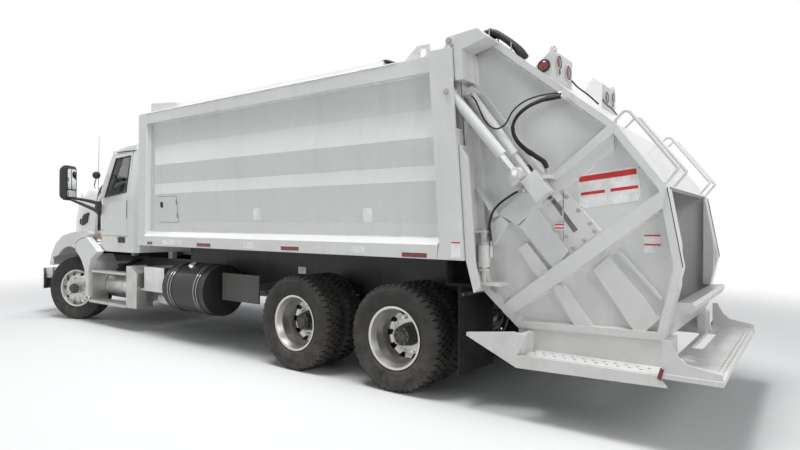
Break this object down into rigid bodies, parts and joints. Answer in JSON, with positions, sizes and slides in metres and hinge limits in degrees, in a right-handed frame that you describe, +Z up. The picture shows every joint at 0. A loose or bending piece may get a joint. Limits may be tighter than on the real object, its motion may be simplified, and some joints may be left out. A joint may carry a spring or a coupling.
{
  "type": "garbage truck",
  "caption": "Rear-loading garbage truck with a conventional cab, creased refuse body, swing-up tailgate with a slide-and-sweep packer, and twin rear axles.",
  "frame": {"origin": "on the ground under the middle of the overall length and width", "axes": "+X forward, +Y to the left, +Z up"},
  "size_m": [10.46, 3, 3.235],
  "materials": {
    "cab_paint": "gloss white",
    "body_paint": "gloss white",
    "gate_paint": "gloss white",
    "frame_black": "satin",
    "bright": "polished",
    "wheel_alloy": "polished",
    "tank_alloy": "brushed",
    "tyre_rubber": "matte",
    "hose_rubber": "semi-gloss",
    "flap_rubber": "matte",
    "steel": "worn",
    "cast": "painted",
    "black_plastic": "textured",
    "seat_fabric": "woven",
    "window_glass": "clear"
  },
  "bodies": {
    "truck": {"front_axle": "cast", "frame_rails": "frame_black", "rear_axles": "cast", "engine_block": "cast", "driveline": "steel", "bumper": "bright", "cab_steps": "tank_alloy", "exhaust_drums": "tank_alloy", "battery_boxes": "frame_black", "fuel_tanks": "tank_alloy", "side_plates": "tank_alloy", "mud_flaps": "flap_rubber", "body_floor": "body_paint", "body_sides": "body_paint", "body_roof": "body_paint", "body_front": "body_paint", "body_rear_frame": "body_paint", "cab_shell": "cab_paint", "cab_glass": "window_glass", "seats": "seat_fabric", "dash_steering": "black_plastic", "quarter_fenders": "cab_paint", "mirrors": "black_plastic"},
    "hood": {"hood_shell": "cab_paint", "hood_grille": "bright"},
    "ejector": {"ejector_panel": "body_paint"},
    "tailgate": {"tailgate_shell": "gate_paint", "slide_barrels": "gate_paint", "rear_platform": "gate_paint", "lamp_boxes": "gate_paint", "grab_rails": "gate_paint", "hose_slide_a": "hose_rubber", "hose_slide_b": "hose_rubber", "hose_port": "hose_rubber", "hose_lock": "hose_rubber"},
    "packer_carriage": {"packer_carriage": "gate_paint"},
    "sweep_panel": {"sweep_panel": "gate_paint"},
    "tie_rod": {"tie_rod": "steel"},
    "door_left": {"door_left": "cab_paint", "door_glass_left": "window_glass"},
    "steering_knuckle_left": {"knuckle_left": "cast"},
    "front_wheel_left": {"front_rim_left": "wheel_alloy", "front_tyre_left": "tyre_rubber"},
    "mid_wheels_left": {"mid_rims_left": "wheel_alloy", "mid_tyres_left": "tyre_rubber"},
    "rear_wheels_left": {"rear_rims_left": "wheel_alloy", "rear_tyres_left": "tyre_rubber"},
    "lift_barrel_left": {"lift_barrel_left": "gate_paint"},
    "lift_rod_left": {"lift_rod_left": "bright"},
    "door_right": {"door_right": "cab_paint", "door_glass_right": "window_glass"},
    "steering_knuckle_right": {"knuckle_right": "cast"},
    "front_wheel_right": {"front_rim_right": "wheel_alloy", "front_tyre_right": "tyre_rubber"},
    "mid_wheels_right": {"mid_rims_right": "wheel_alloy", "mid_tyres_right": "tyre_rubber"},
    "rear_wheels_right": {"rear_rims_right": "wheel_alloy", "rear_tyres_right": "tyre_rubber"},
    "lift_barrel_right": {"lift_barrel_right": "gate_paint"},
    "lift_rod_right": {"lift_rod_right": "bright"}
  },
  "joints": [
    {"name": "hood_tilt", "type": "hinge", "parent": "truck", "child": "hood", "pos_m": [4.97, 0, 0.87], "axis": [0, 1, 0], "range_deg": [0, 55]},
    {"name": "door_left_swing", "type": "hinge", "parent": "truck", "child": "door_left", "pos_m": [3.232, 1.06, 1.9], "axis": [0, 0, -1], "range_deg": [0, 70]},
    {"name": "door_right_swing", "type": "hinge", "parent": "truck", "child": "door_right", "pos_m": [3.232, -1.06, 1.9], "axis": [0, 0, 1], "range_deg": [0, 70]},
    {"name": "steer_left", "type": "hinge", "parent": "truck", "child": "steering_knuckle_left", "pos_m": [4.08, 0.87, 0.505], "axis": [0, 0, 1], "range_deg": [-61.7, 14.3]},
    {"name": "front_wheel_left_spin", "type": "hinge", "parent": "steering_knuckle_left", "child": "front_wheel_left", "pos_m": [4.02775, 0.98904, 0.505], "axis": [-0.4019, 0.9157, 0], "continuous": true},
    {"name": "steer_right", "type": "hinge", "parent": "truck", "child": "steering_knuckle_right", "pos_m": [4.08, -0.87, 0.505], "axis": [0, 0, 1], "range_deg": [-61.7, 14.3]},
    {"name": "front_wheel_right_spin", "type": "hinge", "parent": "steering_knuckle_right", "child": "front_wheel_right", "pos_m": [4.13225, -0.98904, 0.505], "axis": [-0.4019, 0.9157, 0], "continuous": true},
    {"name": "tie_rod_pivot", "type": "hinge", "parent": "steering_knuckle_left", "child": "tie_rod", "pos_m": [3.91518, 0.79765, 0.395], "axis": [0, 0, 1], "range_deg": [-14.3, 61.7]},
    {"name": "mid_wheels_left_spin", "type": "hinge", "parent": "truck", "child": "mid_wheels_left", "pos_m": [-1.2, 0.928, 0.505], "axis": [0, 1, 0], "continuous": true},
    {"name": "mid_wheels_right_spin", "type": "hinge", "parent": "truck", "child": "mid_wheels_right", "pos_m": [-1.2, -0.928, 0.505], "axis": [0, 1, 0], "continuous": true},
    {"name": "rear_wheels_left_spin", "type": "hinge", "parent": "truck", "child": "rear_wheels_left", "pos_m": [-2.53, 0.928, 0.505], "axis": [0, 1, 0], "continuous": true},
    {"name": "rear_wheels_right_spin", "type": "hinge", "parent": "truck", "child": "rear_wheels_right", "pos_m": [-2.53, -0.928, 0.505], "axis": [0, 1, 0], "continuous": true},
    {"name": "ejector_slide", "type": "slide", "parent": "truck", "child": "ejector", "axis": [1, 0, 0], "range_m": [-0.9, 2.6]},
    {"name": "tailgate_lift", "type": "hinge", "parent": "truck", "child": "tailgate", "pos_m": [-3.12, 0, 3.17], "axis": [0, 1, 0], "range_deg": [0, 80]},
    {"name": "lift_barrel_left_swing", "type": "hinge", "parent": "truck", "child": "lift_barrel_left", "pos_m": [-3.117, 1.178, 2.721], "axis": [0, 1, 0], "range_deg": [0, 83.55]},
    {"name": "lift_rod_left_stroke", "type": "slide", "parent": "lift_barrel_left", "child": "lift_rod_left", "axis": [-0.6516, 0, -0.7585], "range_m": [0, 0.5738]},
    {"name": "lift_barrel_right_swing", "type": "hinge", "parent": "truck", "child": "lift_barrel_right", "pos_m": [-3.117, -1.178, 2.721], "axis": [0, 1, 0], "range_deg": [0, 83.55]},
    {"name": "lift_rod_right_stroke", "type": "slide", "parent": "lift_barrel_right", "child": "lift_rod_right", "axis": [-0.6516, 0, -0.7585], "range_m": [0, 0.5738]},
    {"name": "packer_slide", "type": "slide", "parent": "tailgate", "child": "packer_carriage", "axis": [-0.604, 0, -0.797], "range_m": [-0.18, 0.4]},
    {"name": "sweep_swing", "type": "hinge", "parent": "packer_carriage", "child": "sweep_panel", "pos_m": [-3.98, 0, 1.95], "axis": [0, 1, 0], "range_deg": [0, 100]}
  ],
  "couplings": [
    {"joint": "steer_right", "follows": "steer_left", "ratio": 1},
    {"joint": "tie_rod_pivot", "follows": "steer_left", "ratio": -1},
    {"joint": "lift_barrel_left_swing", "follows": "tailgate_lift", "ratio": 1.0419},
    {"joint": "lift_rod_left_stroke", "follows": "tailgate_lift", "m_per_rad": 0.41026},
    {"joint": "lift_barrel_right_swing", "follows": "tailgate_lift", "ratio": 1.0419},
    {"joint": "lift_rod_right_stroke", "follows": "tailgate_lift", "m_per_rad": 0.41026}
  ]
}
